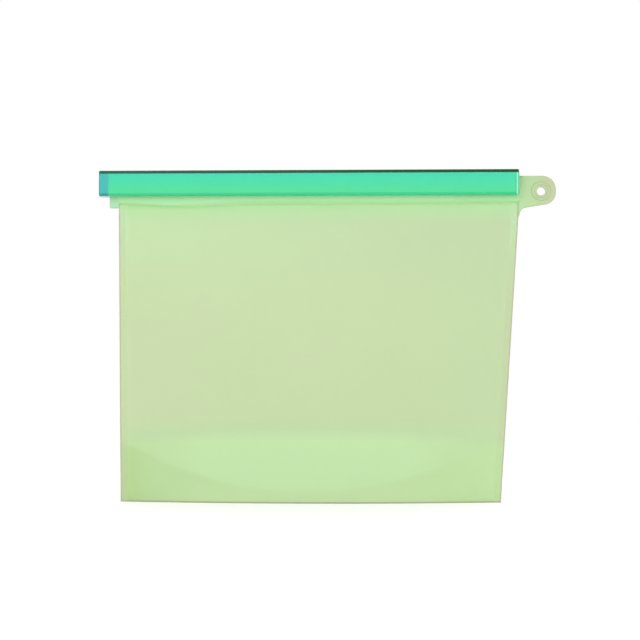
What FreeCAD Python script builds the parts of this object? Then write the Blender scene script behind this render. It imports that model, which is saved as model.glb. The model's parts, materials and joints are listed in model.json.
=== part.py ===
import FreeCAD, Part
import os

import Sketcher

# Reusable silicone bag, closed by a slide bar pushed over its mouth.
# Millimetres. +Z is up, +X runs along the mouth towards the hanging tab, and the bag's front faces -Y.
# The origin lies under the middle of the overall width and depth, on the surface the bag stands on.

DRIVING_DIMENSIONS = {
    # Overall
    "overall_width": 249.6,
    "overall_height": 181.0,
    # Slide bar
    "bar_length": 229.4,
    "bar_depth": 10.0,
    "bar_height": 14.0,
    "bar_wall": 1.4,
    "bar_slot": 4.0,
    "bar_edge_radius": 0.8,
    "bar_inner_radius": 1.0,
    "lip_radius": 0.4,
    # Plug in the bar's closed end
    "plug_length": 5.2,
    "plug_plate": 0.9,
    "plug_wall": 0.8,
    "pin_length": 3.6,
    "pin_radius": 0.7,
    "pin_drop": 5.4,
    "pin_spacing": 5.4,
    # Silicone panels
    "sheet": 0.9,
    "seam_margin": 4.0,
    "base_left": 112.9,
    "base_right": 94.5,
    "mouth_left": 114.4,
    "mouth_right": 105.0,
    "panel_height": 163.5,
    "base_half_depth": 12.0,
    "mouth_half_depth": 0.6,
    "belly_power": 1.8,
    # Folded base
    "fold_height": 37.5,
    "fold_side_drop": 5.0,
    "fold_radius": 2.0,
    "fold_angle": 71.2,
    "gusset_sheet": 0.8,
    "gusset_margin": 3.5,
    # Mouth rails
    "rail_gap": 0.1,
    "rail_band": 1.7,
    "rail_bead": 3.3,
    "rail_top": 178.9,
    "bead_bottom": 168.9,
    "bead_shoulder": 173.5,
    "bead_crown": 176.5,
    "bead_radius": 0.5,
    # End lug
    "lug_length": 4.9,
    "lug_bottom": 160.7,
    "lug_radius": 1.2,
    # Hanging tab
    "tab_thickness": 2.6,
    "tab_top": 177.7,
    "tab_top_radius": 7.5,
    "tab_low_radius": 6.5,
    "tab_low": 161.9,
    "tab_neck": 4.4,
    "tab_neck_top": 161.1,
    "tab_edge_radius": 0.6,
    "hole_from_tip": 8.1,
    "hole_height": 169.2,
    "hole_radius": 2.25,
    "ring_inner_radius": 3.6,
    "ring_outer_radius": 5.2,
    "ring_proud": 0.4,
    # Blocks that cut others reach this far past them
    "overshoot": 5.0,
}

# Heights of the panel sections, as shares of the panel's height
SECTION_SHARES = (0.0, 0.12, 0.26, 0.42, 0.58, 0.74, 0.88, 1.0)
# The part of them that the folded base reaches up to
BASE_SHARES = SECTION_SHARES[:4]
# How far a cavity's block starts below the panels and ends above them, as a share of their height
SHARE_PAST_END = 0.03
# Where the folded base is sectioned across the bag, as shares of its half width
FOLD_SHARES = (-1.0, -0.5, 0.0, 0.5, 1.0)

# Places closer together than this are taken as one, and edges longer than LONG_EDGE as long
SAME_PLACE = 1e-4
LONG_EDGE = 1.0

# How far the middle of a quarter arc lies inside its corner, as a share of the radius
CORNER_SHARE = "(1 - 1 / sqrt(2))"

PARTS_FOLDER = "parts"


def make_sheet(doc):
    """Write the driving dimensions into a spreadsheet, one aliased cell each."""
    sheet = doc.addObject("Spreadsheet::Sheet", "dims")
    for row, (alias, size) in enumerate(DRIVING_DIMENSIONS.items(), start=1):
        sheet.set(f"A{row}", alias)
        sheet.set(f"B{row}", str(size))
        sheet.setAlias(f"B{row}", alias)
    doc.recompute()
    return sheet


def new_sketch(body, name, role, offset="0"):
    """Attach a sketch to one of the body's origin planes, moved along the plane's normal."""
    sketch = body.newObject("Sketcher::SketchObject", name)
    plane = [feature for feature in body.Origin.OriginFeatures if feature.Role == role][0]
    sketch.AttachmentSupport = [(plane, "")]
    sketch.MapMode = "FlatFace"
    sketch.setExpression("AttachmentOffset.Base.z", offset)
    return sketch


def number(sketch, expression):
    """Evaluate an expression of the spreadsheet's cells."""
    evaluated = sketch.evalExpression(expression)
    return float(getattr(evaluated, "Value", evaluated))


def pin_point(sketch, geometry, end, corner, label):
    """Tie one end of a line or arc to the two expressions that place it."""
    for kind, axis, expression in (("DistanceX", "x", corner[0]), ("DistanceY", "y", corner[1])):
        size = number(sketch, expression)
        index = sketch.addConstraint(Sketcher.Constraint(kind, -1, 1, geometry, end, size))
        sketch.renameConstraint(index, f"{label}_{axis}")
        sketch.setExpression(f"Constraints.{label}_{axis}", expression)


def draw_profile(sketch, corners, bulges=None):
    """Draw a closed outline.

    corners holds (x, y) expressions. bulges maps a corner's number to the expressions of a point
    half way along the arc that runs from it to the next corner; the other sides are straight.
    """
    bulges = bulges or {}
    points = [
        FreeCAD.Vector(number(sketch, x_expression), number(sketch, y_expression), 0)
        for x_expression, y_expression in corners
    ]
    ends = []
    for number_of_side, start in enumerate(points):
        finish = points[(number_of_side + 1) % len(points)]
        if number_of_side not in bulges:
            side = sketch.addGeometry(Part.LineSegment(start, finish))
            ends.append((side, 1, 2))
            continue
        middle_x, middle_y = bulges[number_of_side]
        middle = FreeCAD.Vector(number(sketch, middle_x), number(sketch, middle_y), 0)
        side = sketch.addGeometry(Part.Arc(start, middle, finish))
        starts_here = sketch.getPoint(side, 1).distanceToPoint(start) < SAME_PLACE
        ends.append((side, 1, 2) if starts_here else (side, 2, 1))
        mark = sketch.addGeometry(Part.Point(middle), True)
        pin_point(sketch, mark, 1, bulges[number_of_side], f"bulge{number_of_side}")
        sketch.addConstraint(Sketcher.Constraint("PointOnObject", mark, 1, side))
    for number_of_side, (side, start_end, finish_end) in enumerate(ends):
        following = ends[(number_of_side + 1) % len(ends)]
        sketch.addConstraint(Sketcher.Constraint("Coincident", side, finish_end, following[0], following[1]))
        pin_point(sketch, side, start_end, corners[number_of_side], f"corner{number_of_side}")


def draw_circle(sketch, centre, radius, label):
    """Draw a circle whose centre and radius follow expressions."""
    place = FreeCAD.Vector(number(sketch, centre[0]), number(sketch, centre[1]), 0)
    up = FreeCAD.Vector(0, 0, 1)
    circle = sketch.addGeometry(Part.Circle(place, up, number(sketch, radius)))
    pin_point(sketch, circle, 3, centre, label)
    index = sketch.addConstraint(Sketcher.Constraint("Radius", circle, number(sketch, radius)))
    sketch.renameConstraint(index, f"{label}_radius")
    sketch.setExpression(f"Constraints.{label}_radius", radius)


def add_pad(body, sketch, name, length, both_ways=False):
    """Pad a sketch along its normal."""
    pad = body.newObject("PartDesign::Pad", name)
    pad.Profile = sketch
    pad.setExpression("Length", length)
    if both_ways:
        pad.SideType = "Symmetric"
    body.Document.recompute()
    return pad


def add_pocket(body, sketch, name, depth):
    """Cut a sketch into the body, to the same depth on both sides of its plane."""
    pocket = body.newObject("PartDesign::Pocket", name)
    pocket.Profile = sketch
    pocket.setExpression("Length", f"2 * ({depth})")
    pocket.SideType = "Symmetric"
    body.Document.recompute()
    return pocket


def add_loft(body, sketches, name):
    """Loft through sketches in order."""
    loft = body.newObject("PartDesign::AdditiveLoft", name)
    loft.Profile = sketches[0]
    loft.Sections = sketches[1:]
    body.Document.recompute()
    return loft


def add_fillet(body, base, name, radius, chosen):
    """Round the edges of base for which chosen(edge) is true."""
    names = [f"Edge{count}" for count, edge in enumerate(base.Shape.Edges, start=1) if chosen(edge)]
    fillet = body.newObject("PartDesign::Fillet", name)
    fillet.Base = (base, names)
    fillet.setExpression("Radius", radius)
    body.Document.recompute()
    return fillet


def runs_along_x(edge):
    """True for a straight edge parallel to the mouth."""
    box = edge.BoundBox
    return box.XLength > LONG_EDGE and box.YLength < SAME_PLACE and box.ZLength < SAME_PLACE


def both_halves(right_half):
    """A closed outline from its right half, listed from the bottom up, and the mirror image of that."""
    return right_half + [(f"-{across}", height) for across, height in reversed(right_half)]


def roof_bulges(side, roof, radius, right_start, left_start):
    """Arcs that round the two roof corners of an outline, listed with the number of the corner each starts at."""
    across = f"({side} - {radius} * {CORNER_SHARE})"
    height = f"{roof} - {radius} * {CORNER_SHARE}"
    return {right_start: (across, height), left_start: (f"-{across}", height)}


def edge_x(share):
    """Expressions of the panel's left and right edges at a share of its height."""
    left = f"-(dims.base_left + (dims.mouth_left - dims.base_left) * {share})"
    right = f"(dims.base_right + (dims.mouth_right - dims.base_right) * {share})"
    return left, right


def half_depth(share):
    """Expression of the cavity's half depth at a share of the panel's height."""
    swell = "(dims.base_half_depth - dims.mouth_half_depth)"
    return f"(dims.mouth_half_depth + {swell} * cos(90 deg * {max(share, 0.0)}^dims.belly_power)^2)"


def panel_block(doc):
    """The front half of the bag's outside, up to the mouth rails, before it is hollowed."""
    body = doc.addObject("PartDesign::Body", "front_block")
    sections = []
    for count, share in enumerate(SECTION_SHARES):
        sketch = new_sketch(body, f"front_section{count}", "XY_Plane", f"dims.panel_height * {share}")
        left, right = edge_x(share)
        inner_left = f"{left} + dims.seam_margin"
        inner_right = f"{right} - dims.seam_margin"
        outline = [
            (left, "0"),
            (left, "-dims.sheet"),
            (inner_left, "-dims.sheet"),
            (inner_right, "-dims.sheet"),
            (right, "-dims.sheet"),
            (right, "0"),
        ]
        belly = (f"({left} + {right}) / 2", f"-dims.sheet - {half_depth(share)}")
        draw_profile(sketch, outline, {2: belly})
        sections.append(sketch)
    add_loft(body, sections, "front_block_loft")
    return body


def lens_block(doc, name, shares, margin, inset):
    """A block with a lens section that fills the space between the panels.

    margin is the expression of its distance from the panels' edges, and inset of how far it stays
    from their inner faces.
    """
    body = doc.addObject("PartDesign::Body", name)
    sections = []
    for count, share in enumerate(shares):
        sketch = new_sketch(body, f"{name}_section{count}", "XY_Plane", f"dims.panel_height * {share}")
        left, right = edge_x(share)
        middle = f"({left} + {right}) / 2"
        depth = f"({half_depth(share)} - {inset})"
        outline = [(f"{left} + {margin}", "0"), (f"{right} - {margin}", "0")]
        bulges = {0: (middle, f"-{depth}"), 1: (middle, depth)}
        draw_profile(sketch, outline, bulges)
        sections.append(sketch)
    add_loft(body, sections, f"{name}_loft")
    return body


def fold_wedge(doc, name, inset):
    """The space under the folded base: a ridge across the bag with a round crest that sinks towards the sides.

    inset is the expression of how far all its faces lie inside the base sheet's upper face.
    """
    body = doc.addObject("PartDesign::Body", name)
    middle = "(dims.base_right - dims.base_left) / 2"
    half_width = "((dims.base_right + dims.base_left) / 2)"
    reach = "(dims.base_half_depth + dims.overshoot)"
    angle = "(dims.fold_angle * 1 deg)"
    radius = f"(dims.fold_radius - {inset})"
    shoulder = f"({radius} * sin({angle}))"
    sections = []
    for count, share in enumerate(FOLD_SHARES):
        sketch = new_sketch(body, f"{name}_section{count}", "YZ_Plane", f"{middle} + {half_width} * {share}")
        crest = f"(dims.fold_height - dims.fold_side_drop * {share}^2 - {inset})"
        shoulder_height = f"({crest} - {radius} * (1 - cos({angle})))"
        foot = f"({shoulder_height} - tan({angle}) * ({reach} - {shoulder}))"
        outline = both_halves([
            (reach, f"({foot} - dims.overshoot)"),
            (reach, foot),
            (shoulder, shoulder_height),
        ])
        draw_profile(sketch, outline, {2: ("0", crest)})
        sections.append(sketch)
    add_loft(body, sections, f"{name}_loft")
    return body


def boolean(doc, kind, name, base, tool):
    """Part::Cut or Part::Common of two objects."""
    made = doc.addObject(kind, name)
    made.Base = base
    made.Tool = tool
    return made


def mirrored_to_back(doc, name, source):
    """The back piece that matches a front piece."""
    mirror = doc.addObject("Part::Mirroring", name)
    mirror.Source = source
    mirror.Base = FreeCAD.Vector(0, 0, 0)
    mirror.Normal = FreeCAD.Vector(0, 1, 0)
    mirror.Label = name
    return mirror


def make_panels(doc):
    """Front and back panels: one hollowed half, and its mirror image."""
    shares = (-SHARE_PAST_END,) + SECTION_SHARES[1:-1] + (1.0 + SHARE_PAST_END,)
    cavity = lens_block(doc, "cavity", shares, "dims.seam_margin", "0")
    front_wall = boolean(doc, "Part::Cut", "front_wall", panel_block(doc), cavity)
    back_wall = mirrored_to_back(doc, "back_wall", front_wall)
    return front_wall, back_wall


def make_gusset(doc):
    """The base sheet: folded up inside, and doubled on the panels below the round seal.

    It is the space under the fold between the panels, less the same space one sheet further in.
    """
    filling = lens_block(doc, "filling", BASE_SHARES, "dims.seam_margin", "0")
    hollow_shares = (-SHARE_PAST_END,) + BASE_SHARES[1:]
    hollow_margin = "(dims.seam_margin + dims.gusset_margin)"
    hollow = lens_block(doc, "hollow", hollow_shares, hollow_margin, "dims.gusset_sheet")
    upper_wedge = fold_wedge(doc, "upper_wedge", "0")
    lower_wedge = fold_wedge(doc, "lower_wedge", "dims.gusset_sheet")
    under_top = boolean(doc, "Part::Common", "base_filling", filling, upper_wedge)
    under_sheet = boolean(doc, "Part::Common", "base_hollow", hollow, lower_wedge)
    return boolean(doc, "Part::Cut", "bottom_gusset", under_top, under_sheet)


def make_rail(doc):
    """Front half of the mouth: a thick band, and above it the bead that the bar runs on."""
    body = doc.addObject("PartDesign::Body", "front_mouth_rail")
    sketch = new_sketch(body, "rail_profile", "YZ_Plane", "-dims.mouth_left")
    outline = [
        ("-dims.rail_gap", "dims.panel_height"),
        ("-dims.rail_band", "dims.panel_height"),
        ("-dims.rail_band", "dims.bead_bottom"),
        ("-dims.rail_bead", "dims.bead_bottom"),
        ("-dims.rail_bead", "dims.bead_shoulder"),
        ("-dims.rail_band", "dims.bead_crown"),
        ("-dims.rail_band", "dims.rail_top"),
        ("-dims.rail_gap", "dims.rail_top"),
    ]
    draw_profile(sketch, outline)
    pad = add_pad(body, sketch, "rail_pad", "dims.mouth_left + dims.mouth_right")
    bead = DRIVING_DIMENSIONS["rail_bead"]
    add_fillet(
        body, pad, "rail_rounding", "dims.bead_radius",
        lambda edge: runs_along_x(edge) and abs(edge.BoundBox.YMin + bead) < SAME_PLACE,
    )
    return body


def make_lug(doc):
    """Left end of the mouth, where both rails join, with a flap that hangs below the bar."""
    body = doc.addObject("PartDesign::Body", "end_lug")
    sketch = new_sketch(body, "lug_profile", "YZ_Plane", "-dims.mouth_left - dims.lug_length")
    right_half = [
        ("dims.rail_band", "dims.lug_bottom"),
        ("dims.rail_band", "dims.bead_bottom"),
        ("dims.rail_bead", "dims.bead_bottom"),
        ("dims.rail_bead", "dims.bead_shoulder"),
        ("dims.rail_band", "dims.bead_crown"),
        ("dims.rail_band", "dims.rail_top"),
    ]
    draw_profile(sketch, both_halves(right_half))
    pad = add_pad(body, sketch, "lug_pad", "dims.lug_length")
    outer_end = -DRIVING_DIMENSIONS["mouth_left"] - DRIVING_DIMENSIONS["lug_length"]

    def outer_corner(edge):
        box = edge.BoundBox
        at_end = box.XMax < outer_end + SAME_PLACE
        low = box.ZMax < DRIVING_DIMENSIONS["lug_bottom"] + SAME_PLACE
        return at_end and low and box.YLength > LONG_EDGE

    add_fillet(body, pad, "lug_rounding", "dims.lug_radius", outer_corner)
    return body


def make_tab(doc):
    """Tab at the right end of the mouth, with a hole and a ring moulded round it."""
    body = doc.addObject("PartDesign::Body", "hanging_tab")
    sketch = new_sketch(body, "tab_outline", "XZ_Plane")
    tip = "dims.overall_width / 2"
    upper = "dims.tab_top_radius"
    lower = "dims.tab_low_radius"
    neck = "dims.tab_neck"
    root = "dims.mouth_right"
    outline = [
        (root, "dims.tab_top"),
        (f"{tip} - {upper}", "dims.tab_top"),
        (tip, f"dims.tab_top - {upper}"),
        (tip, f"dims.tab_low + {lower}"),
        (f"{tip} - {lower}", "dims.tab_low"),
        (f"{root} + {neck}", "dims.tab_neck_top"),
        (root, f"dims.tab_neck_top - {neck}"),
    ]
    bulges = {
        1: (f"{tip} - {upper} * {CORNER_SHARE}", f"dims.tab_top - {upper} * {CORNER_SHARE}"),
        3: (f"{tip} - {lower} * {CORNER_SHARE}", f"dims.tab_low + {lower} * {CORNER_SHARE}"),
        5: (f"{root} + {neck} * {CORNER_SHARE}", f"dims.tab_neck_top - {neck} * {CORNER_SHARE}"),
    }
    draw_profile(sketch, outline, bulges)
    pad = add_pad(body, sketch, "tab_pad", "dims.tab_thickness", both_ways=True)
    root_x = DRIVING_DIMENSIONS["mouth_right"]
    add_fillet(
        body, pad, "tab_rounding", "dims.tab_edge_radius",
        lambda edge: edge.BoundBox.YLength < SAME_PLACE and edge.BoundBox.XMax > root_x + SAME_PLACE,
    )
    centre = (f"{tip} - dims.hole_from_tip", "dims.hole_height")
    ring = new_sketch(body, "tab_ring", "XZ_Plane")
    draw_circle(ring, centre, "dims.ring_outer_radius", "ring_outside")
    draw_circle(ring, centre, "dims.ring_inner_radius", "ring_inside")
    add_pad(body, ring, "ring_pad", "dims.tab_thickness + 2 * dims.ring_proud", both_ways=True)
    hole = new_sketch(body, "tab_hole", "XZ_Plane")
    draw_circle(hole, centre, "dims.hole_radius", "hole")
    add_pocket(body, hole, "hole_pocket", "dims.tab_thickness")
    return body


def make_bar(doc):
    """The slide bar: a channel with inturned lips, pushed over the rails from the left."""
    body = doc.addObject("PartDesign::Body", "slide_bar")
    sketch = new_sketch(body, "bar_profile", "YZ_Plane", "-dims.overall_width / 2")
    top = "dims.overall_height"
    bottom = "(dims.overall_height - dims.bar_height)"
    lip_top = f"({bottom} + dims.bar_wall)"
    roof = f"({top} - dims.bar_wall)"
    outside = "(dims.bar_depth / 2)"
    inside = "(dims.bar_depth / 2 - dims.bar_wall)"
    radius = "dims.bar_inner_radius"
    slot = "(dims.bar_slot / 2)"
    outline = both_halves([(slot, lip_top), (slot, bottom), (outside, bottom), (outside, top)])
    cavity = both_halves([(inside, lip_top), (inside, f"({roof} - {radius})"), (f"({inside} - {radius})", roof)])
    cavity.reverse()
    draw_profile(sketch, outline + cavity, roof_bulges(inside, roof, radius, 11, 9))
    pad = add_pad(body, sketch, "bar_pad", "dims.bar_length")
    box = pad.Shape.BoundBox

    def on_outer_corner(edge):
        outline = edge.BoundBox
        on_faces = [
            outline.XMax < box.XMin + SAME_PLACE or outline.XMin > box.XMax - SAME_PLACE,
            outline.YMax < box.YMin + SAME_PLACE or outline.YMin > box.YMax - SAME_PLACE,
            outline.ZMax < box.ZMin + SAME_PLACE or outline.ZMin > box.ZMax - SAME_PLACE,
        ]
        return sum(on_faces) == 2

    rounded = add_fillet(body, pad, "bar_rounding", "dims.bar_edge_radius", on_outer_corner)
    slot_side = DRIVING_DIMENSIONS["bar_slot"] / 2
    add_fillet(
        body, rounded, "lip_rounding", "dims.lip_radius",
        lambda edge: runs_along_x(edge) and abs(abs(edge.BoundBox.YMin) - slot_side) < SAME_PLACE,
    )
    return body


def make_plug(doc):
    """A hollow plug that closes the bar's left end. Its rim is the stop that meets the end lug."""
    body = doc.addObject("PartDesign::Body", "bar_end_plug")
    left = "-dims.overall_width / 2"
    sketch = new_sketch(body, "plug_profile", "YZ_Plane", left)
    bottom = "(dims.overall_height - dims.bar_height)"
    lip_top = f"({bottom} + dims.bar_wall)"
    roof = "(dims.overall_height - dims.bar_wall)"
    inside = "(dims.bar_depth / 2 - dims.bar_wall)"
    slot = "(dims.bar_slot / 2)"
    radius = "dims.bar_inner_radius"
    right_half = [
        (slot, bottom),
        (slot, lip_top),
        (inside, lip_top),
        (inside, f"({roof} - {radius})"),
        (f"({inside} - {radius})", roof),
    ]
    draw_profile(sketch, both_halves(right_half), roof_bulges(inside, roof, radius, 3, 5))
    add_pad(body, sketch, "plug_pad", "dims.plug_length")
    recess = new_sketch(body, "recess_profile", "YZ_Plane", f"{left} + dims.plug_length")
    recess_side = f"({inside} - dims.plug_wall)"
    recess_floor = f"{lip_top} + dims.plug_wall"
    recess_roof = f"{roof} - dims.plug_wall"
    recess_corners = [
        (f"-{recess_side}", recess_floor),
        (recess_side, recess_floor),
        (recess_side, recess_roof),
        (f"-{recess_side}", recess_roof),
    ]
    draw_profile(recess, recess_corners)
    add_pocket(body, recess, "recess_pocket", "dims.plug_length - dims.plug_plate")
    pins = new_sketch(body, "pin_circles", "YZ_Plane", f"{left} + dims.plug_plate")
    upper = "(dims.overall_height - dims.pin_drop)"
    draw_circle(pins, ("0", upper), "dims.pin_radius", "upper_pin")
    draw_circle(pins, ("0", f"{upper} - dims.pin_spacing"), "dims.pin_radius", "lower_pin")
    add_pad(body, pins, "pin_pad", "dims.pin_length")
    return body


def check_document(doc, pieces):
    """Stop if any object failed, or any piece's shape is missing or broken."""
    for made in doc.Objects:
        if "Invalid" in made.State or "Error" in made.State:
            raise RuntimeError(f"{made.Name} failed: {made.State}")
    for piece in pieces:
        if piece.Shape.isNull() or not piece.Shape.isValid() or not piece.Shape.Solids:
            raise RuntimeError(f"{piece.Label} has no sound solid")


def main():
    doc = FreeCAD.newDocument("silicone_bag")
    make_sheet(doc)
    front_wall, back_wall = make_panels(doc)
    front_rail = make_rail(doc)
    pieces = [
        front_wall,
        back_wall,
        make_gusset(doc),
        front_rail,
        mirrored_to_back(doc, "back_mouth_rail", front_rail),
        make_lug(doc),
        make_tab(doc),
        make_bar(doc),
        make_plug(doc),
    ]
    doc.recompute()
    check_document(doc, pieces)
    os.makedirs(PARTS_FOLDER, exist_ok=True)
    for piece in pieces:
        box = piece.Shape.optimalBoundingBox(True, False)
        print(
            f"{piece.Label}: {piece.Shape.Volume / 1000:.2f} cm3, {len(piece.Shape.Solids)} solid,"
            f" x {box.XMin:.2f} {box.XMax:.2f}, y {box.YMin:.2f} {box.YMax:.2f}, z {box.ZMin:.2f} {box.ZMax:.2f}"
        )
        piece.Shape.exportStep(f"{PARTS_FOLDER}/{piece.Label}.step")


main()
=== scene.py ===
import json
import math

import bmesh
import bpy
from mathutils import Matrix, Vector


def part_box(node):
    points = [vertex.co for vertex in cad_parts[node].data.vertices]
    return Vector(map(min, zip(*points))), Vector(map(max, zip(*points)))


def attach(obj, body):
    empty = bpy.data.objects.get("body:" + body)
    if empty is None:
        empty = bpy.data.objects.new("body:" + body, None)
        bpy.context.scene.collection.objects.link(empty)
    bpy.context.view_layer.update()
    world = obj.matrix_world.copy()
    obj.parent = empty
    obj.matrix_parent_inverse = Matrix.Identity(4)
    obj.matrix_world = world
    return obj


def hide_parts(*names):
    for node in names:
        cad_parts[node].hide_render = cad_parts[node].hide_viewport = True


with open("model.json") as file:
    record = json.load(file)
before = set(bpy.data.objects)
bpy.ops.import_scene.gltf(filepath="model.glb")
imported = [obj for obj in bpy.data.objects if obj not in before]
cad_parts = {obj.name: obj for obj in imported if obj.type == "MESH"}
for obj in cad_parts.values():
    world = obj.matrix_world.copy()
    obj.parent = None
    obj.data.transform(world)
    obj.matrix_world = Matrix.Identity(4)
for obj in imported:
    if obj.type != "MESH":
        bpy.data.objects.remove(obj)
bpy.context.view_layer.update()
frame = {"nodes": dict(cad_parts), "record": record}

# Sizes are in metres. Places come from the CAD nodes' boxes.
MM = 0.001

PANEL_LOW, PANEL_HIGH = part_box("front_wall")
RAIL_LOW, RAIL_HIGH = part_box("front_mouth_rail")
LUG_LOW, LUG_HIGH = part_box("end_lug")
TAB_LOW, TAB_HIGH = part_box("hanging_tab")
GUSSET_LOW, GUSSET_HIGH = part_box("bottom_gusset")
BAR_LOW, BAR_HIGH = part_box("slide_bar")

# Points of a mesh nearer than this are one point, and points lower than this lie on the base plane
WELD = 0.001 * MM
BASE_PLANE = 0.01 * MM

# Silicone panels
SHEET = 0.9 * MM
SEAM_MARGIN = 4.0 * MM
PANEL_TOP = PANEL_HIGH.z
BASE_HALF_DEPTH = -PANEL_LOW.y - SHEET
MOUTH_HALF_DEPTH = 0.6 * MM
BELLY_POWER = 1.8
EDGE_ROUNDING = 0.5 * MM
RIM_ROUNDING = 0.15 * MM
SEAM_SOFTNESS = 0.25 * MM
GROOVE_PLACE = 0.9 * SEAM_MARGIN
GROOVE_WIDTH = 0.45 * MM
GROOVE_DEPTH = 0.14 * MM
LEAST_INNER_DEPTH = 0.03 * MM
FIRST_EVEN_ROW = 1.5 * MM
PANEL_ROWS = 88
PANEL_COLUMNS = 84

# Slow waves in the soft panels, in radians over a panel's whole width or height
RIPPLE_HEIGHT = 0.45 * MM
RIPPLE_FULL_DEPTH = 1.0 * MM
RIPPLE_FADE_POWER = 0.8
RIPPLE_ACROSS = 5.1
RIPPLE_UP = 2.3
RIPPLE_SHIFT = 0.6
CROSS_RIPPLE_ACROSS = 1.9
CROSS_RIPPLE_UP = 3.7
LONG_FOLD_ACROSS = 9.0
LONG_FOLD_SLANT = 0.35
LONG_FOLD_SHIFT = 1.4
LONG_FOLD_SHARE = 0.35

# Folded base
SEAL_HEIGHT = 6.4 * MM
SEAL_SIDE_HEIGHT = 32.2 * MM
SEAL_LOWEST_X = -12.4 * MM
SEAL_BLEND = 1.2 * MM
GUSSET_SHEET = 0.8 * MM
FOLD_SIDE_DROP = 5.0 * MM
FOLD_SIDE_GAP = 1.6 * SEAM_MARGIN
FOLD_ROUNDNESS = 0.004
FOLD_BOW = 0.9 * MM
FOLD_FULL_BOW_REACH = 6.0 * MM
FOLD_COLUMNS = 121
FOLD_ROWS = 57

# Mouth rails
RAIL_GAP = 0.1 * MM
RAIL_BAND = 1.7 * MM
RAIL_BEAD = 3.3 * MM
BEAD_BOTTOM = 168.9 * MM
BEAD_SHOULDER = 173.5 * MM
BEAD_CROWN = 176.5 * MM
RAIL_TOP = RAIL_HIGH.z + 0.65 * MM
RAIL_ROUNDING = 0.35 * MM
RAIL_CHAMFER = 0.2 * MM
RAIL_TAPER = 1.0 * MM
RAIL_OVERLAP = 0.3 * MM
RAIL_SINK = 0.05 * MM
RAIL_COLUMNS = 150

# The soft rails sag near the bar's closed end: place, half width and depth of each sag
# CREST_SAG and CREST_RISE place only the painted shade on the rail's top; the rail's top itself stays level
CREST_SAG = (-88.0 * MM, 30.0 * MM, 2.1 * MM)
FOOT_SAG = (-80.0 * MM, 24.0 * MM, 1.7 * MM)
CREST_RISE = 0.9 * MM
FOOT_DROP = 0.7 * MM
RAIL_UNEVENNESS = 0.06 * MM
RAIL_WAVE = 21.0 * MM

# End lug
LUG_LAP = 0.5 * MM
LUG_LAP_INSET = 0.12 * MM
LUG_MIDDLE = 2.5 * MM
LUG_ROUNDING = 0.45 * MM

# Hanging tab
TAB_TOP_RADIUS = 7.5 * MM
TAB_LOW_RADIUS = 6.5 * MM
TAB_LOW_EDGE = 161.9 * MM
TAB_NECK = 4.4 * MM
TAB_NECK_TOP = 160.4 * MM
TAB_ROOT_OVERLAP = 1.2 * MM
HOLE_ROUNDING = 0.3 * MM
HOLE_POINTS = 72

# The tab's rounded edge: distance in from its outline, and drop below its face
TAB_EDGE_PROFILE = ((0.0, 0.7 * MM), (0.18 * MM, 0.25 * MM), (0.6 * MM, 0.0))

# The moulded ring round the hole: radius, and share of the ring's full height
RING_PROFILE = (
    (3.3 * MM, 0.0),
    (3.5 * MM, 0.075),
    (3.75 * MM, 0.7),
    (4.05 * MM, 1.0),
    (4.6 * MM, 1.0),
    (4.95 * MM, 0.75),
    (5.2 * MM, 0.12),
    (5.45 * MM, 0.0),
)

# Slide bar
PLUG_GAP = 0.04 * MM

# Materials
SILICONE_ROUGHNESS = 0.42
SILICONE_IOR = 1.41
SKIN_SCALE = 1400.0
SKIN_DETAIL = 3.0
SKIN_STRENGTH = 0.12
SKIN_HEIGHT = 0.05 * MM
PATCH_SCALE = 9.0
PATCH_DETAIL = 2.0
PLASTIC_ROUGHNESS = 0.07
PLASTIC_IOR = 1.43
EDGE_SAMPLES = 40

# Camera, as the photograph was taken
CAMERA_PLACE = (32.5 * MM, -970.3 * MM, 71.7 * MM)
CAMERA_LENS = 100.0
CAMERA_SENSOR = 36.0
CAMERA_TURN = 2.14
CAMERA_RISE = 1.62

# Area lamps, all aimed at one point: name, place, side and power in watts
LAMP_AIM = (0.0, 0.0, 0.09)
LAMPS = (
    ("key", (-0.9, -1.3, 1.3), 1.2, 10.0),
    ("fill", (1.1, -1.0, 0.7), 1.0, 4.0),
    ("rear", (0.2, 1.3, 1.0), 1.4, 7.0),
)

# Strength of the white surroundings as a light
DIFFUSE_LIGHT = 0.95
WHITE = (1.0, 1.0, 1.0, 1.0)

# Floor: half its side, and the distances between which it turns into backdrop
FLOOR_HALF = 3.0
FLOOR_NEAR = 0.2
FLOOR_FAR = 0.7


def base_edges():
    """The x of the front wall's left and right lower corners."""
    vertices = frame["nodes"]["front_wall"].data.vertices
    low = [vertex.co.x for vertex in vertices if vertex.co.z < BASE_PLANE]
    return min(low), max(low)


BASE_LEFT, BASE_RIGHT = base_edges()
BASE_MIDDLE = (BASE_LEFT + BASE_RIGHT) / 2
MOUTH_LEFT, MOUTH_RIGHT = PANEL_LOW.x, PANEL_HIGH.x


def blend(a, b, share):
    return a + (b - a) * share


def clamped(share):
    return min(max(share, 0.0), 1.0)


def smooth(share):
    share = clamped(share)
    return share * share * (3.0 - 2.0 * share)


def spread(start, end, count):
    return [blend(start, end, index / (count - 1)) for index in range(count)]


def panel_edges(height):
    share = height / PANEL_TOP
    return blend(BASE_LEFT, MOUTH_LEFT, share), blend(BASE_RIGHT, MOUTH_RIGHT, share)


def half_depth(height):
    swell = math.cos(math.pi / 2 * clamped(height / PANEL_TOP) ** BELLY_POWER) ** 2
    return MOUTH_HALF_DEPTH + (BASE_HALF_DEPTH - MOUTH_HALF_DEPTH) * swell


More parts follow.
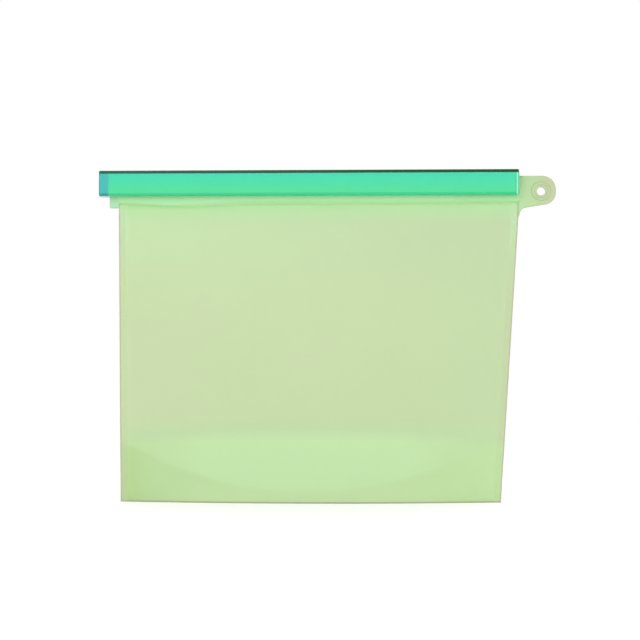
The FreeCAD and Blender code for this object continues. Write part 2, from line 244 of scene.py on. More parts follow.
def ripple(x, height, side):
    """Slow unevenness of the soft panels. It fades to nothing at the edges."""
    left, right = panel_edges(height)
    across = (x - left) / (right - left)
    up = height / PANEL_TOP
    fade = math.sin(math.pi * clamped(across)) ** RIPPLE_FADE_POWER * math.sin(math.pi * clamped(up))
    wave = math.sin(RIPPLE_ACROSS * across + RIPPLE_UP * up + RIPPLE_SHIFT * side)
    cross_wave = math.cos(CROSS_RIPPLE_UP * up - CROSS_RIPPLE_ACROSS * across + side)
    long_fold = math.sin(LONG_FOLD_ACROSS * (across + LONG_FOLD_SLANT * up) + LONG_FOLD_SHIFT * side)
    return RIPPLE_HEIGHT * fade * (wave * cross_wave + LONG_FOLD_SHARE * long_fold)


def inner_depth(x, height, side):
    """Distance of a panel's inner face from the bag's middle plane."""
    left, right = panel_edges(height)
    left += SEAM_MARGIN
    right -= SEAM_MARGIN
    middle = (left + right) / 2
    half = (right - left) / 2
    depth = half_depth(height)
    radius = (half * half + depth * depth) / (2 * depth)
    offset = min(abs(x - middle), half)
    arc = math.sqrt(radius * radius - offset * offset) - (radius - depth)
    softened = math.sqrt(arc * arc + SEAM_SOFTNESS ** 2) - SEAM_SOFTNESS
    return max(softened + ripple(x, height, side) * min(arc / RIPPLE_FULL_DEPTH, 1.0), 0.0)


def outer_depth(x, height, side):
    """Distance of a panel's outer face from the bag's middle plane.

    The sheet is rounded at its side edges and grooved along its seams.
    """
    left, right = panel_edges(height)
    from_edge = min(x - left, right - x)
    thickness = SHEET
    if from_edge < EDGE_ROUNDING:
        drop = EDGE_ROUNDING - from_edge
        thickness -= EDGE_ROUNDING - math.sqrt(max(EDGE_ROUNDING ** 2 - drop ** 2, 0.0))
    groove = math.exp(-((from_edge - GROOVE_PLACE) / GROOVE_WIDTH) ** 2)
    return inner_depth(x, height, side) + thickness - GROOVE_DEPTH * groove


def seal_line(x):
    """Height of the round seal that joins the folded base to the panels."""
    left, right = BASE_LEFT + SEAM_MARGIN, BASE_RIGHT - SEAM_MARGIN
    half = SEAL_LOWEST_X - left if x < SEAL_LOWEST_X else right - SEAL_LOWEST_X
    share = min(abs(x - SEAL_LOWEST_X) / half, 1.0)
    return SEAL_HEIGHT + (SEAL_SIDE_HEIGHT - SEAL_HEIGHT) * share ** 2


def fold_line(x):
    """Height of the folded base's crest."""
    share = min(abs(x - BASE_MIDDLE) / ((BASE_RIGHT - BASE_LEFT) / 2), 1.0)
    return GUSSET_HIGH.z - FOLD_SIDE_DROP * share ** 2


def rail_sag(x, middle, half_width, depth):
    """How far an edge of the soft rail sags, with a slow unevenness beyond the sag."""
    sag = depth * math.exp(-((x - middle) / half_width) ** 2)
    slow = RAIL_UNEVENNESS * (1.0 + math.sin(x / RAIL_WAVE))
    return sag + slow


def rail_crest(x):
    """Height of the painted shade line under the rail's upper edge, seen through the bar."""
    return RAIL_HIGH.z + CREST_RISE - rail_sag(x, *CREST_SAG)


def rail_foot(x):
    """Height of the rail's lower edge, which laps over the panel."""
    return RAIL_LOW.z - FOOT_DROP - rail_sag(x, *FOOT_SAG)


def make_object(name, bm, sharp_degrees=40.0):
    """Turn a bmesh into an object with smooth faces and sharp edges past the given angle."""
    bmesh.ops.recalc_face_normals(bm, faces=bm.faces)
    for face in bm.faces:
        face.smooth = True
    for edge in bm.edges:
        if len(edge.link_faces) == 2 and edge.calc_face_angle() > math.radians(sharp_degrees):
            edge.smooth = False
    mesh = bpy.data.meshes.new(name)
    bm.to_mesh(mesh)
    bm.free()
    made = bpy.data.objects.new(name, mesh)
    bpy.context.scene.collection.objects.link(made)
    return made


def skin(bm, rows):
    """Faces between closed rings of vertices, each joined to the next."""
    for lower, upper in zip(rows, rows[1:]):
        for index in range(len(lower)):
            following = (index + 1) % len(lower)
            bm.faces.new((lower[index], lower[following], upper[following], upper[index]))


def loft_rings(name, rings, joined=False, sharp_degrees=40.0):
    """Skin closed rings of points in order.

    joined closes the last ring onto the first. Otherwise both ends are capped.
    """
    bm = bmesh.new()
    rows = [[bm.verts.new(point) for point in ring] for ring in rings]
    if joined:
        skin(bm, rows + rows[:1])
    else:
        skin(bm, rows)
        bm.faces.new(rows[0])
        bm.faces.new(list(reversed(rows[-1])))
    return make_object(name, bm, sharp_degrees)


def panel_shares():
    """Places across a panel, from one side edge to the other, closer together at the seams."""
    margin = [0.0, 0.0008, 0.0022, 0.006, 0.012, 0.016, 0.0175, 0.0195, 0.022, 0.027, 0.033]
    middle_start = 0.04
    middle = spread(middle_start, 1.0 - middle_start, PANEL_COLUMNS)
    return margin + middle + [1.0 - share for share in reversed(margin)]


def make_bag_body():
    """Front and back panels as one bonded shell, open at the base and at the mouth."""
    shares = panel_shares()
    heights = [0.0, RIM_ROUNDING, EDGE_ROUNDING]
    heights += spread(FIRST_EVEN_ROW, PANEL_TOP - EDGE_ROUNDING, PANEL_ROWS)
    heights.append(PANEL_TOP + RAIL_OVERLAP)

    def outer_ring(height, inset=0.0):
        left, right = panel_edges(height)
        xs = [blend(left + inset, right - inset, share) for share in shares]
        front = [Vector((x, -outer_depth(x, height, -1) + inset, height)) for x in xs]
        back = [Vector((x, outer_depth(x, height, 1) - inset, height)) for x in reversed(xs)]
        return front + back

    def inner_ring(height):
        left, right = panel_edges(height)
        xs = [blend(left + SEAM_MARGIN, right - SEAM_MARGIN, share) for share in shares]

        def wall(x, side):
            doubled = smooth((seal_line(x) - height) / SEAL_BLEND + 0.5) * GUSSET_SHEET
            return max(inner_depth(x, height, side) - doubled, LEAST_INNER_DEPTH)

        front = [Vector((x, -wall(x, -1), height)) for x in xs]
        back = [Vector((x, wall(x, 1), height)) for x in reversed(xs)]
        return front + back

    outer = [outer_ring(heights[0], RIM_ROUNDING)] + [outer_ring(height) for height in heights[1:]]
    inner = [inner_ring(height) for height in reversed(heights)]
    return loft_rings("bag_body", outer + inner, joined=True, sharp_degrees=50.0)


def make_gusset_fold():
    """The free part of the base sheet, folded up between the panels."""
    bm = bmesh.new()
    rows = []
    for x in spread(BASE_LEFT + FOLD_SIDE_GAP, BASE_RIGHT - FOLD_SIDE_GAP, FOLD_COLUMNS):
        crest = fold_line(x)
        foot = seal_line(x)
        row = []
        for share in spread(-1.0, 1.0, FOLD_ROWS):
            side = -1 if share < 0 else 1
            reach = inner_depth(x, foot, side) - GUSSET_SHEET / 2
            fall = (crest - foot) * (math.sqrt(share ** 2 + FOLD_ROUNDNESS) - math.sqrt(FOLD_ROUNDNESS))
            bow = FOLD_BOW * math.sin(math.pi * abs(share)) * min(reach / FOLD_FULL_BOW_REACH, 1.0)
            row.append(bm.verts.new((x, reach * share - side * bow, crest - fall)))
        rows.append(row)
    for lower, upper in zip(rows, rows[1:]):
        for index in range(FOLD_ROWS - 1):
            bm.faces.new((lower[index], lower[index + 1], upper[index + 1], upper[index]))
    made = make_object("gusset_fold", bm, sharp_degrees=60.0)
    thicken = made.modifiers.new("thickness", "SOLIDIFY")
    thicken.thickness = GUSSET_SHEET
    thicken.offset = -1.0
    return made


def make_rail(name, side):
    """One side of the mouth: the band below the bar and the bead inside it."""
    upper_outline = [
        (RAIL_BAND, BEAD_BOTTOM - RAIL_CHAMFER),
        (RAIL_BAND + RAIL_CHAMFER, BEAD_BOTTOM),
        (RAIL_BEAD - RAIL_ROUNDING, BEAD_BOTTOM),
        (RAIL_BEAD, BEAD_BOTTOM + RAIL_ROUNDING),
        (RAIL_BEAD, BEAD_SHOULDER - RAIL_ROUNDING),
        (RAIL_BEAD - RAIL_CHAMFER, BEAD_SHOULDER + RAIL_CHAMFER),
        (RAIL_BAND + RAIL_CHAMFER / 2, BEAD_CROWN),
        (RAIL_BAND, BEAD_CROWN + RAIL_CHAMFER),
        (RAIL_BAND, RAIL_TOP - RAIL_ROUNDING),
        (RAIL_BAND - RAIL_ROUNDING, RAIL_TOP),
        (RAIL_GAP, RAIL_TOP),
    ]
    rings = []
    for x in spread(RAIL_LOW.x - RAIL_OVERLAP, RAIL_HIGH.x, RAIL_COLUMNS):
        foot = rail_foot(x)
        lap = outer_depth(x, PANEL_TOP, side) - RAIL_SINK
        outline = [(RAIL_GAP, foot), (lap, foot), (RAIL_BAND, foot + RAIL_TAPER)] + upper_outline
        rings.append([Vector((x, side * across, height)) for across, height in outline])
    return loft_rings(name, rings, sharp_degrees=35.0)


def make_lug():
    """Closed left end of the mouth, with the flap that hangs below the bar."""
    outline_right = [
        (RAIL_BAND, LUG_LOW.z),
        (RAIL_BAND, BEAD_BOTTOM),
        (RAIL_BEAD, BEAD_BOTTOM),
        (RAIL_BEAD, BEAD_SHOULDER),
        (RAIL_BAND, BEAD_CROWN),
        (RAIL_BAND, LUG_HIGH.z),
    ]
    outline = outline_right + [(-across, height) for across, height in reversed(outline_right)]
    sections = (
        (LUG_LOW.x, 0.0),
        (LUG_LOW.x + LUG_MIDDLE, 0.0),
        (LUG_HIGH.x - LUG_LAP, 0.0),
        (LUG_HIGH.x + LUG_LAP, LUG_LAP_INSET),
    )
    rings = []
    for x, inset in sections:
        ring = [Vector((x, across - math.copysign(inset, across), height)) for across, height in outline]
        rings.append(ring)
    made = loft_rings("end_lug_soft", rings, sharp_degrees=30.0)
    soften = made.modifiers.new("rounding", "BEVEL")
    soften.width = LUG_ROUNDING
    soften.segments = 3
    soften.limit_method = "ANGLE"
    return made


def arc_points(centre, radius, start, end, count):
    """Points (x, z) round an arc, from one angle to another in degrees."""
    points = []
    for turn in spread(start, end, count):
        angle = math.radians(turn)
        points.append((centre[0] + radius * math.cos(angle), centre[1] + radius * math.sin(angle)))
    return points


def tab_outline():
    """The tab's edge as (x, z) points, from its upper root round the tip to its lower root."""
    tip = TAB_HIGH.x
    top = TAB_HIGH.z
    root = TAB_LOW.x - TAB_ROOT_OVERLAP
    bottom = TAB_NECK_TOP - TAB_NECK
    upper = (tip - TAB_TOP_RADIUS, top - TAB_TOP_RADIUS)
    lower = (tip - TAB_LOW_RADIUS, TAB_LOW_EDGE + TAB_LOW_RADIUS)
    neck = (TAB_LOW.x + TAB_NECK, bottom)
    points = [(root, top)]
    points += arc_points(upper, TAB_TOP_RADIUS, 90.0, 0.0, 20)
    points += arc_points(lower, TAB_LOW_RADIUS, 0.0, -90.0, 18)
    points += arc_points(neck, TAB_NECK, 90.0, 180.0, 12)
    points.append((root, bottom))
    return points


def inset_outline(points, distance):
    """The same outline, moved inwards. Points run clockwise seen from the front."""
    least_stretch = 0.4
    moved = []
    for index, (x, z) in enumerate(points):
        before = Vector(points[index - 1])
        after = Vector(points[(index + 1) % len(points)])
        here = Vector((x, z))
        first = (here - before).normalized()
        second = (after - here).normalized()
        inward = Vector((first.y + second.y, -first.x - second.x)).normalized()
        stretch = max(inward.dot(Vector((first.y, -first.x))), least_stretch)
        place = here + inward * (distance / stretch)
        moved.append((place.x, place.y))
    return moved


def make_tab():
    """Hanging tab with its hole and the moulded ring round it."""
    mount = frame["record"]["mounts"][0]
    centre = (mount["pos_m"][0], mount["pos_m"][2])
    hole = mount["dims"]["r_mm"] * MM
    half = mount["dims"]["length_mm"] / 2 * MM
    proud = TAB_HIGH.y - half
    outline = tab_outline()
    bevel = HOLE_ROUNDING * 0.3
    hole_section = [
        (hole, 0.0),
        (hole, half - HOLE_ROUNDING),
        (hole + bevel, half - bevel),
        (hole + HOLE_ROUNDING, half),
    ]
    hole_section += [(radius, half + proud * share) for radius, share in RING_PROFILE]
    edge_section = [(0.0, 0.0)] + [(inset, half - drop) for inset, drop in TAB_EDGE_PROFILE]
    last_angle = 360.0 / HOLE_POINTS
    bm = bmesh.new()
    for side in (-1, 1):
        circles = []
        for radius, y in hole_section:
            circle = arc_points(centre, radius, 360.0, last_angle, HOLE_POINTS)
            circles.append([bm.verts.new((x, side * y, z)) for x, z in circle])
        borders = []
        for inset, y in edge_section:
            border = inset_outline(outline, inset)
            borders.append([bm.verts.new((x, side * y, z)) for x, z in border])
        rim_edges = []
        for rows in (circles, borders):
            skin(bm, rows)
            rim = rows[-1]
            rim_edges += [bm.edges.get((rim[index - 1], rim[index])) for index in range(len(rim))]
        bmesh.ops.triangle_fill(bm, edges=rim_edges, use_beauty=True, use_dissolve=False)
    bmesh.ops.remove_doubles(bm, verts=bm.verts, dist=WELD)
    return make_object("hanging_tab_soft", bm, sharp_degrees=50.0)


def make_plug():
    """The bar's end plug, a hair smaller than its CAD solid so that no face of it lies on the bar's."""
    bm = bmesh.new()
    bm.from_mesh(frame["nodes"]["bar_end_plug"].data)
    bmesh.ops.remove_doubles(bm, verts=bm.verts, dist=WELD)
    bm.normal_update()
    moves = [(vertex, vertex.normal * (-PLUG_GAP)) for vertex in bm.verts]
    for vertex, move in moves:
        vertex.co += move
    return make_object("bar_end_plug_clear", bm, sharp_degrees=30.0)


class Nodes:
    """Short ways to add and link shader nodes in one material."""

    def __init__(self, name):
        self.material = bpy.data.materials.new(name)
        self.material.use_nodes = True
        self.nodes = self.material.node_tree.nodes
        self.links = self.material.node_tree.links
        self.shader = self.nodes["Principled BSDF"]
        self.output = self.nodes["Material Output"]
        self.coordinates = self.nodes.new("ShaderNodeTexCoord")
        self.place = self.coordinates.outputs["Object"]
        self.x, self.y, self.z = self.split(self.place)

    def set_or_link(self, socket, value):
        if isinstance(value, bpy.types.NodeSocket):
            self.links.new(value, socket)
        elif isinstance(value, tuple):
            socket.default_value = (*value, 1.0)
        else:
            socket.default_value = value

    def split(self, vector):
        node = self.nodes.new("ShaderNodeSeparateXYZ")
        self.links.new(vector, node.inputs["Vector"])
        return node.outputs["X"], node.outputs["Y"], node.outputs["Z"]

    def math(self, operation, first, second=0.0):
        node = self.nodes.new("ShaderNodeMath")
        node.operation = operation
        self.set_or_link(node.inputs[0], first)
        self.set_or_link(node.inputs[1], second)
        return node.outputs[0]

    def minus(self, first, second):
        return self.math("SUBTRACT", first, second)

    def away(self, value, middle):
        """Distance of a value from middle, on either side."""
        return self.math("ABSOLUTE", self.minus(value, middle))

    def ramp(self, value, low, high):
        """A factor that goes smoothly from 0 at low to 1 at high. high may be the smaller of the two."""
        node = self.nodes.new("ShaderNodeMapRange")
        node.interpolation_type = "SMOOTHSTEP"
        node.inputs["From Min"].default_value = low
        node.inputs["From Max"].default_value = high
        self.links.new(value, node.inputs["Value"])
        return node.outputs["Result"]

    def band(self, value, middle, half_width):
        """A factor of 1 at middle that fades to 0 half_width away from it."""
        return self.ramp(self.away(value, middle), half_width, 0.0)

    def mix(self, factor, low, high):
        """A colour that goes from low to high with factor."""
        node = self.nodes.new("ShaderNodeMix")
        node.data_type = "RGBA"
        self.set_or_link(node.inputs["Factor"], factor)
        self.set_or_link(node.inputs["A"], low)
        self.set_or_link(node.inputs["B"], high)
        return node.outputs["Result"]

    def profile(self, value, low, high, function, count=25):
        """function(value) for a value from low to high, through a curve of straight-line samples."""
        samples = [function(place) for place in spread(low, high, count)]
        least, most = min(samples), max(samples)
        shares = [(sample - least) / (most - least) for sample in samples]
        points = list(zip(spread(0.0, 1.0, count), shares))
        node = self.nodes.new("ShaderNodeFloatCurve")
        curve = node.mapping.curves[0]
        curve.points[0].location = points[0]
        curve.points[1].location = points[-1]
        for point in points[1:-1]:
            curve.points.new(*point)
        node.mapping.update()
        along = self.math("DIVIDE", self.minus(value, low), high - low)
        self.links.new(along, node.inputs["Value"])
        return self.math("ADD", self.math("MULTIPLY", node.outputs["Value"], most - least), least)

    def noise(self, scale, detail):
        node = self.nodes.new("ShaderNodeTexNoise")
        node.inputs["Scale"].default_value = scale
        node.inputs["Detail"].default_value = detail
        self.links.new(self.place, node.inputs["Vector"])
        return node.outputs["Fac"]


def finish_silicone(made, colour, transmission):
    """Translucent satin silicone in the colour given, over a very fine bump."""
    made.set_or_link(made.shader.inputs["Base Color"], colour)
    bump = made.nodes.new("ShaderNodeBump")
    bump.inputs["Strength"].default_value = SKIN_STRENGTH
    bump.inputs["Distance"].default_value = SKIN_HEIGHT
    made.links.new(made.noise(SKIN_SCALE, SKIN_DETAIL), bump.inputs["Height"])
    made.links.new(bump.outputs["Normal"], made.shader.inputs["Normal"])
    made.shader.inputs["Roughness"].default_value = SILICONE_ROUGHNESS
    made.shader.inputs["IOR"].default_value = SILICONE_IOR
    made.shader.inputs["Transmission Weight"].default_value = transmission
    return made.material


def sheet_colour(made, across):
    """The plain sheet, in faint patches, deeper at the right and greener towards the mouth, with painted
    light at the upper left and painted shade at the upper right.
    """
    patch_light = (0.695, 0.815, 0.505)
    patch_deep = (0.671, 0.800, 0.482)
    right_side = (0.662, 0.806, 0.487)
    # painted light at the upper left and painted shade at the upper right, where the panel's slow bulges
    # turn to and from the light
    upper_left_lit = (0.677, 0.853, 0.508)
    upper_right_shaded = (0.650, 0.790, 0.490)
    near_mouth = (0.590, 0.875, 0.475)
    patches = made.ramp(made.noise(PATCH_SCALE, PATCH_DETAIL), 0.3, 0.7)
    right_part = made.ramp(made.x, 10 * MM, BASE_RIGHT)
    upper_part = made.ramp(made.z, 100 * MM, 150 * MM)
    mouth_part = made.ramp(made.z, 150 * MM, 163 * MM)
    colour = made.mix(patches, patch_light, patch_deep)
    colour = made.mix(right_part, colour, right_side)
    colour = made.mix(upper_part, colour, made.mix(across, upper_left_lit, upper_right_shaded))
    return made.mix(mouth_part, colour, near_mouth)


def lens_colour(made, across, from_middle):
    """The free part of the folded base, seen through the panel, partly its own colour and partly painted
    light caught between the sheets: lightest in the middle.
    """
    # partly the folded base's colour through the panel, partly painted light caught between the sheets
    middle = (0.690, 0.925, 0.530)
    left_side = (0.658, 0.868, 0.472)
    right_side = (0.650, 0.860, 0.480)
    outwards = made.ramp(from_middle, 50 * MM, 98 * MM)
    return made.mix(outwards, middle, made.mix(across, left_side, right_side))


def skirt_colour(made, from_middle):
    """The part below the round seal, where the base sheet is bonded to the panel."""
    left_corner = (0.585, 0.790, 0.370)
    left_side = (0.625, 0.835, 0.450)
    right_side = (0.655, 0.865, 0.475)
    # painted light: the lower middle is lighter, offsetting the shade it takes near the floor
    low_middle_lit = (0.680, 0.890, 0.500)
    from_corner = made.ramp(made.x, -110 * MM, -92 * MM)
    rightwards = made.ramp(made.x, -60 * MM, 60 * MM)
    lower_part = made.ramp(made.z, 18 * MM, 2 * MM)
    middle_part = made.ramp(from_middle, 90 * MM, 55 * MM)
    colour = made.mix(from_corner, left_corner, left_side)
    colour = made.mix(rightwards, colour, right_side)
    return made.mix(made.math("MULTIPLY", lower_part, middle_part), colour, low_middle_lit)


def margin_colour(made, across):
    """The flat seam margins: deepest beside the folded base, greener towards the mouth."""
    low = made.mix(across, (0.522, 0.668, 0.355), (0.552, 0.738, 0.390))
    middle = made.mix(across, (0.588, 0.723, 0.412), (0.569, 0.685, 0.410))
    high = (0.545, 0.745, 0.437)
    above_base = made.ramp(made.z, 28 * MM, 36 * MM)
    upper_part = made.ramp(made.z, 120 * MM, 155 * MM)
    return made.mix(upper_part, made.mix(above_base, low, middle), high)


def side_distance(made):
    """Distance from the nearer side edge of the panels."""
    left_edge = made.profile(made.z, 0.0, PANEL_TOP, lambda height: panel_edges(height)[0], 2)
    right_edge = made.profile(made.z, 0.0, PANEL_TOP, lambda height: panel_edges(height)[1], 2)
    return made.math("MINIMUM", made.minus(made.x, left_edge), made.minus(right_edge, made.x))


def panel_silicone():
    """Panels, with the folded base showing through them and with their margins, and with painted shade above
    the fold, under the rails and along their rims.
    """
    above_fold_shade = (0.652, 0.822, 0.490)
    under_rail_shade = (0.530, 0.815, 0.400)
    rim_shade = (0.53, 0.54, 0.37)
    made = Nodes("panel_silicone")
    across = made.ramp(made.x, BASE_LEFT, BASE_RIGHT)
    from_middle = made.away(made.x, BASE_MIDDLE)
    from_side = side_distance(made)
    from_rim = made.math("MINIMUM", from_side, made.z)
    above_seal = made.minus(made.z, made.profile(made.x, BASE_LEFT, BASE_RIGHT, seal_line))
    below_fold = made.minus(made.profile(made.x, BASE_LEFT, BASE_RIGHT, fold_line), made.z)
    rail_edge = made.profile(made.x, RAIL_LOW.x, RAIL_HIGH.x, rail_foot, EDGE_SAMPLES)
    below_rail = made.minus(rail_edge, made.z)
    on_shaded_rim = made.ramp(from_rim, 1.1 * MM, 0.5 * MM)
    below_tab = made.ramp(made.z, 161 * MM, 157 * MM)
    zones = (
        # painted shade in a band just above the fold's crest
        (made.ramp(below_fold, -12 * MM, -3 * MM), above_fold_shade),
        (made.ramp(below_fold, -4 * MM, 4 * MM), lens_colour(made, across, from_middle)),
        (made.ramp(above_seal, 1.5 * MM, -2.5 * MM), skirt_colour(made, from_middle)),
        (made.ramp(from_side, 4.4 * MM, 3.4 * MM), margin_colour(made, across)),
        # painted shade just under the rail's lower edge
        (made.ramp(below_rail, 1.6 * MM, 0.0), under_rail_shade),
        # painted shade along the panels' edges, a contact shadow along the bottom
        (made.math("MULTIPLY", on_shaded_rim, below_tab), rim_shade),
    )
    colour = sheet_colour(made, across)
    for zone, zone_colour in zones:
        colour = made.mix(zone, colour, zone_colour)
    return finish_silicone(made, colour, transmission=0.4)


def inside_bar(made):
    """A factor of 1 where the bar covers the piece."""
    return made.ramp(made.z, BAR_LOW.z - 0.2 * MM, BAR_LOW.z + 0.4 * MM)


def rail_silicone():
    """Rails: a greener band below the bar, painted as lit by the teal light through the bar, a paler bead
    inside it with painted shade along its top, and a yellower painted shade line at the lower edge.
    """
    # painted light: the band below the bar is greener, as the teal light through the bar falls on it
    band = (0.370, 0.680, 0.348)
    bead_low = (0.46, 0.72, 0.38)
    bead_high = (0.44, 0.71, 0.42)
    # painted shade on the bead's top where the rail sags, standing in for the dark empty channel above it
    crest = (0.36, 0.62, 0.38)
    # painted shade line along the rail's lower edge, where it laps over the panel
    shade_line = (0.345, 0.625, 0.268)
    made = Nodes("rail_silicone")
    crest_shade_edge = made.profile(made.x, RAIL_LOW.x, RAIL_HIGH.x, rail_crest, EDGE_SAMPLES)
    foot_edge = made.profile(made.x, RAIL_LOW.x, RAIL_HIGH.x, rail_foot, EDGE_SAMPLES)
    crest_shade_zone = made.ramp(made.minus(made.z, crest_shade_edge), -0.2 * MM, 0.3 * MM)
    foot_shade_zone = made.ramp(made.minus(made.z, foot_edge), 2.0 * MM, 0.9 * MM)
    bead = made.mix(made.ramp(made.z, BEAD_BOTTOM, BEAD_CROWN), bead_low, bead_high)
    bead = made.mix(crest_shade_zone, bead, crest)
    colour = made.mix(inside_bar(made), band, bead)
    colour = made.mix(foot_shade_zone, colour, shade_line)
    return finish_silicone(made, colour, transmission=0.0)


def lug_silicone():
    flap = (0.366, 0.618, 0.376)
    covered = (0.46, 0.70, 0.44)
    made = Nodes("lug_silicone")
    return finish_silicone(made, made.mix(inside_bar(made), flap, covered), transmission=0.0)


def tab_silicone():
    """Hanging tab, less green towards its tip, with painted shade in two thin lines at the edges of the
    moulded ring round the hole.
    """
    root = (0.475, 0.690, 0.360)
    tip = (0.530, 0.600, 0.355)
    shade_line = (0.330, 0.390, 0.240)
    shade_share = 0.55
    made = Nodes("tab_silicone")
    hole_x, _, hole_z = frame["record"]["mounts"][0]["pos_m"]
    sideways = made.math("POWER", made.away(made.x, hole_x), 2.0)
    upwards = made.math("POWER", made.away(made.z, hole_z), 2.0)
    radius = made.math("SQRT", made.math("ADD", sideways, upwards))
    # painted shade at the ring's outer and inner edges
    outer_shade_line = made.band(radius, 5.15 * MM, 0.5 * MM)
    inner_shade_line = made.band(radius, 3.6 * MM, 0.35 * MM)
    shade_lines = made.math("MAXIMUM", outer_shade_line, inner_shade_line)
    colour = made.mix(made.ramp(made.x, TAB_LOW.x, TAB_HIGH.x), root, tip)
    colour = made.mix(made.math("MULTIPLY", shade_lines, shade_share), colour, shade_line)
    return finish_silicone(made, colour, transmission=0.3)


def gusset_silicone():
    made = Nodes("gusset_silicone")
    return finish_silicone(made, (0.80, 0.97, 0.64), transmission=0.2)


def clear_plastic(made, transmission, tint, density):
    """Tinted plastic, slightly cloudy, whose colour deepens with thickness."""
    made.shader.inputs["Roughness"].default_value = PLASTIC_ROUGHNESS
    made.shader.inputs["IOR"].default_value = PLASTIC_IOR
    made.shader.inputs["Transmission Weight"].default_value = transmission
    absorb = made.nodes.new("ShaderNodeVolumeAbsorption")
    absorb.inputs["Color"].default_value = (*tint, 1.0)
    absorb.inputs["Density"].default_value = density
    made.links.new(absorb.outputs["Volume"], made.output.inputs["Volume"])
    return made.material


def bar_plastic():
    """Slide bar, with its lips and plug showing through its front and back, painted shade along its top wall
    and ends, and a painted highlight near its open end.
    """
    wall_low = (0.120, 0.905, 0.435)
    wall_high = (0.070, 0.875, 0.615)
    wall_over_plug = (0.083, 0.648, 0.625)
    lip = (0.042, 0.786, 0.370)
    lip_over_plug = (0.040, 0.430, 0.390)
    closed_end_shade = (0.060, 0.330, 0.330)
    end_shade = (0.120, 0.660, 0.420)
    end_highlight = (0.800, 1.000, 0.900)
    top_shade_left = (0.004, 0.125, 0.075)
    top_shade_right = (0.002, 0.060, 0.005)
    made = Nodes("bar_plastic")
    depthwise = made.split(made.coordinates.outputs["Normal"])[1]
    facing = made.ramp(made.math("ABSOLUTE", depthwise), 0.1, 0.4)
    from_open_end = made.minus(BAR_HIGH.x, made.x)
    over_plug = made.ramp(made.x, BAR_LOW.x + 5.6 * MM, BAR_LOW.x + 5.0 * MM)
    outer_shade_line = made.ramp(from_open_end, 0.5 * MM, 0.3 * MM)
    inner_shade_line = made.band(from_open_end, 1.8 * MM, 0.4 * MM)
    along = made.ramp(made.x, BAR_LOW.x, BAR_HIGH.x)
    on_lips = made.ramp(made.z, BAR_LOW.z + 1.7 * MM, BAR_LOW.z + 1.3 * MM)
    on_closed_end_shade = made.ramp(made.x, BAR_LOW.x + 0.6 * MM, BAR_LOW.x + 0.3 * MM)
    top_wall_shade_zone = made.ramp(made.z, BAR_HIGH.z - 2.0 * MM, BAR_HIGH.z - 1.6 * MM)
    zones = (
        (on_lips, made.mix(over_plug, lip, lip_over_plug)),
        # painted shade along the edge of the closed end
        (on_closed_end_shade, closed_end_shade),
        # painted shade in two thin lines at the open end
        (made.math("MAXIMUM", outer_shade_line, inner_shade_line), end_shade),
        # painted highlight on the rounded open end, between the shade lines
        (made.band(from_open_end, 1.0 * MM, 0.5 * MM), end_highlight),
        # painted shade: the top wall seen edge-on, far darker than its tint, standing in for light trapped
        # in the clear wall
        (top_wall_shade_zone, made.mix(along, top_shade_left, top_shade_right)),
    )
    wall = made.mix(made.ramp(made.z, BAR_LOW.z, BAR_HIGH.z), wall_low, wall_high)
    colour = made.mix(over_plug, wall, wall_over_plug)
    for zone, zone_colour in zones:
        colour = made.mix(made.math("MULTIPLY", zone, facing), colour, zone_colour)
    made.set_or_link(made.shader.inputs["Base Color"], colour)
    return clear_plastic(made, transmission=0.45, tint=(0.2, 0.99, 0.87), density=400.0)


def plug_plastic():
    made = Nodes("plug_plastic")
    made.shader.inputs["Base Color"].default_value = (0.60, 0.80, 0.88, 1.0)
    return clear_plastic(made, transmission=0.9, tint=(0.5, 0.70, 0.90), density=250.0)


def dress(made, material, body, slot, *nodes):
    """Give a soft piece its material, its body and the CAD nodes that it stands for."""
    made.data.materials.append(material)
    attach(made, body)
    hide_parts(*nodes)


def finish_node(node, material):
    """Give a CAD node a better material."""
    made = frame["nodes"][node]
    made.data.materials.clear()
    made.data.materials.append(material)


def make_camera():
    camera = bpy.data.objects.new("camera", bpy.data.cameras.new("camera"))
    camera.data.lens = CAMERA_LENS
    camera.data.sensor_width = CAMERA_SENSOR
    camera.data.clip_start = 0.01
    camera.data.clip_end = 20.0
    camera.location = CAMERA_PLACE
    camera.rotation_euler = (math.radians(90.0 + CAMERA_RISE), 0.0, math.radians(CAMERA_TURN))
    bpy.context.scene.collection.objects.link(camera)
    bpy.context.scene.camera = camera


def add_lamp(name, place, side, power):
    lamp = bpy.data.objects.new(name, bpy.data.lights.new(name, "AREA"))
    lamp.data.shape = "SQUARE"
    lamp.data.size = side
    lamp.data.energy = power
    lamp.location = place
    lamp.rotation_euler = (Vector(LAMP_AIM) - Vector(place)).to_track_quat("-Z", "Y").to_euler()
    bpy.context.scene.collection.objects.link(lamp)


def seen_directly(nodes, links):
    """A factor that is 1 for camera, glossy and transmitted rays."""
    path = nodes.new("ShaderNodeLightPath")
    total = path.outputs["Is Camera Ray"]
    for ray in ("Is Glossy Ray", "Is Transmission Ray"):
        add = nodes.new("ShaderNodeMath")
        add.operation = "MAXIMUM"
        links.new(total, add.inputs[0])
        links.new(path.outputs[ray], add.inputs[1])
        total = add.outputs[0]
    return total


def make_world():
    """White surroundings, a little weaker as a light than as they are seen."""
    world = bpy.data.worlds.new("studio")
    bpy.context.scene.world = world
    world.use_nodes = True
    nodes, links = world.node_tree.nodes, world.node_tree.links
    shown = nodes["Background"]
    shown.inputs["Color"].default_value = WHITE
    shown.inputs["Strength"].default_value = 1.0
    lighting = nodes.new("ShaderNodeBackground")
    lighting.inputs["Color"].default_value = WHITE
    lighting.inputs["Strength"].default_value = DIFFUSE_LIGHT
    mix = nodes.new("ShaderNodeMixShader")
    links.new(seen_directly(nodes, links), mix.inputs["Fac"])
    links.new(lighting.outputs["Background"], mix.inputs[1])
    links.new(shown.outputs["Background"], mix.inputs[2])
    links.new(mix.outputs["Shader"], nodes["World Output"].inputs["Surface"])


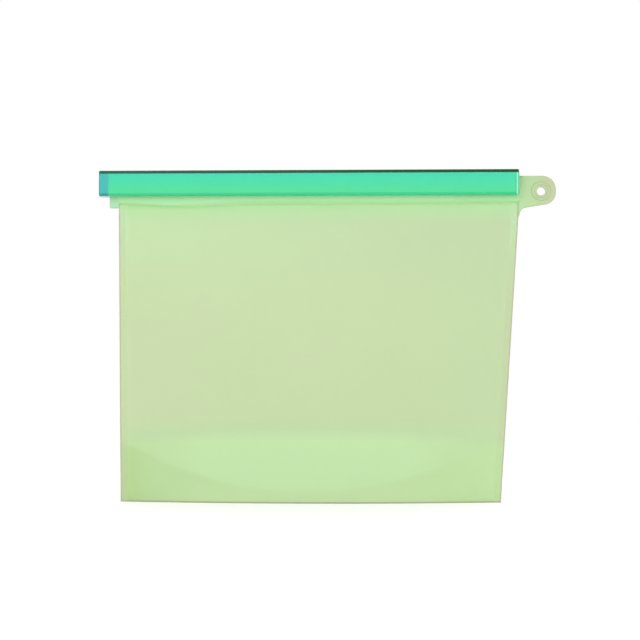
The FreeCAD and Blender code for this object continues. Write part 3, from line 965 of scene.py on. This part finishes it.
def make_floor():
    """White floor. Near the bag it is plain and takes its shadow; further off it shows as the backdrop does.

    It is clear from below, so that the underside of the bag can be seen.
    """
    bm = bmesh.new()
    bmesh.ops.create_grid(bm, x_segments=1, y_segments=1, size=FLOOR_HALF)
    floor = make_object("floor", bm)
    made = Nodes("floor_white")
    made.shader.inputs["Base Color"].default_value = (0.95, 0.95, 0.95, 1.0)
    made.shader.inputs["Roughness"].default_value = 0.9
    made.shader.inputs["Specular IOR Level"].default_value = 0.0
    shown = made.nodes.new("ShaderNodeEmission")
    distance = made.nodes.new("ShaderNodeVectorMath")
    distance.operation = "LENGTH"
    made.links.new(made.place, distance.inputs[0])
    far = made.ramp(distance.outputs["Value"], FLOOR_NEAR, FLOOR_FAR)
    mix = made.nodes.new("ShaderNodeMixShader")
    made.links.new(made.math("MULTIPLY", seen_directly(made.nodes, made.links), far), mix.inputs["Fac"])
    made.links.new(made.shader.outputs["BSDF"], mix.inputs[1])
    made.links.new(shown.outputs["Emission"], mix.inputs[2])
    hidden = made.nodes.new("ShaderNodeBsdfTransparent")
    face = made.nodes.new("ShaderNodeNewGeometry")
    one_sided = made.nodes.new("ShaderNodeMixShader")
    made.links.new(face.outputs["Backfacing"], one_sided.inputs["Fac"])
    made.links.new(mix.outputs["Shader"], one_sided.inputs[1])
    made.links.new(hidden.outputs["BSDF"], one_sided.inputs[2])
    made.links.new(one_sided.outputs["Shader"], made.output.inputs["Surface"])
    floor.data.materials.append(made.material)


make_camera()
make_world()
make_floor()
for lamp_name, lamp_place, lamp_side, lamp_power in LAMPS:
    add_lamp(lamp_name, lamp_place, lamp_side, lamp_power)

PANEL_SILICONE = panel_silicone()
RAIL_SILICONE = rail_silicone()

dress(make_bag_body(), PANEL_SILICONE, "bag", "panels", "front_wall", "back_wall")
dress(make_gusset_fold(), gusset_silicone(), "bag", "gusset", "bottom_gusset")
dress(make_rail("front_rail_soft", -1), RAIL_SILICONE, "bag", "rails", "front_mouth_rail")
dress(make_rail("back_rail_soft", 1), RAIL_SILICONE, "bag", "rails", "back_mouth_rail")
dress(make_lug(), lug_silicone(), "bag", "rails", "end_lug")
dress(make_tab(), tab_silicone(), "bag", "tab", "hanging_tab")
dress(make_plug(), plug_plastic(), "bar", "plug", "bar_end_plug")
finish_node("slide_bar", bar_plastic())

bpy.context.scene.view_settings.view_transform = "Standard"
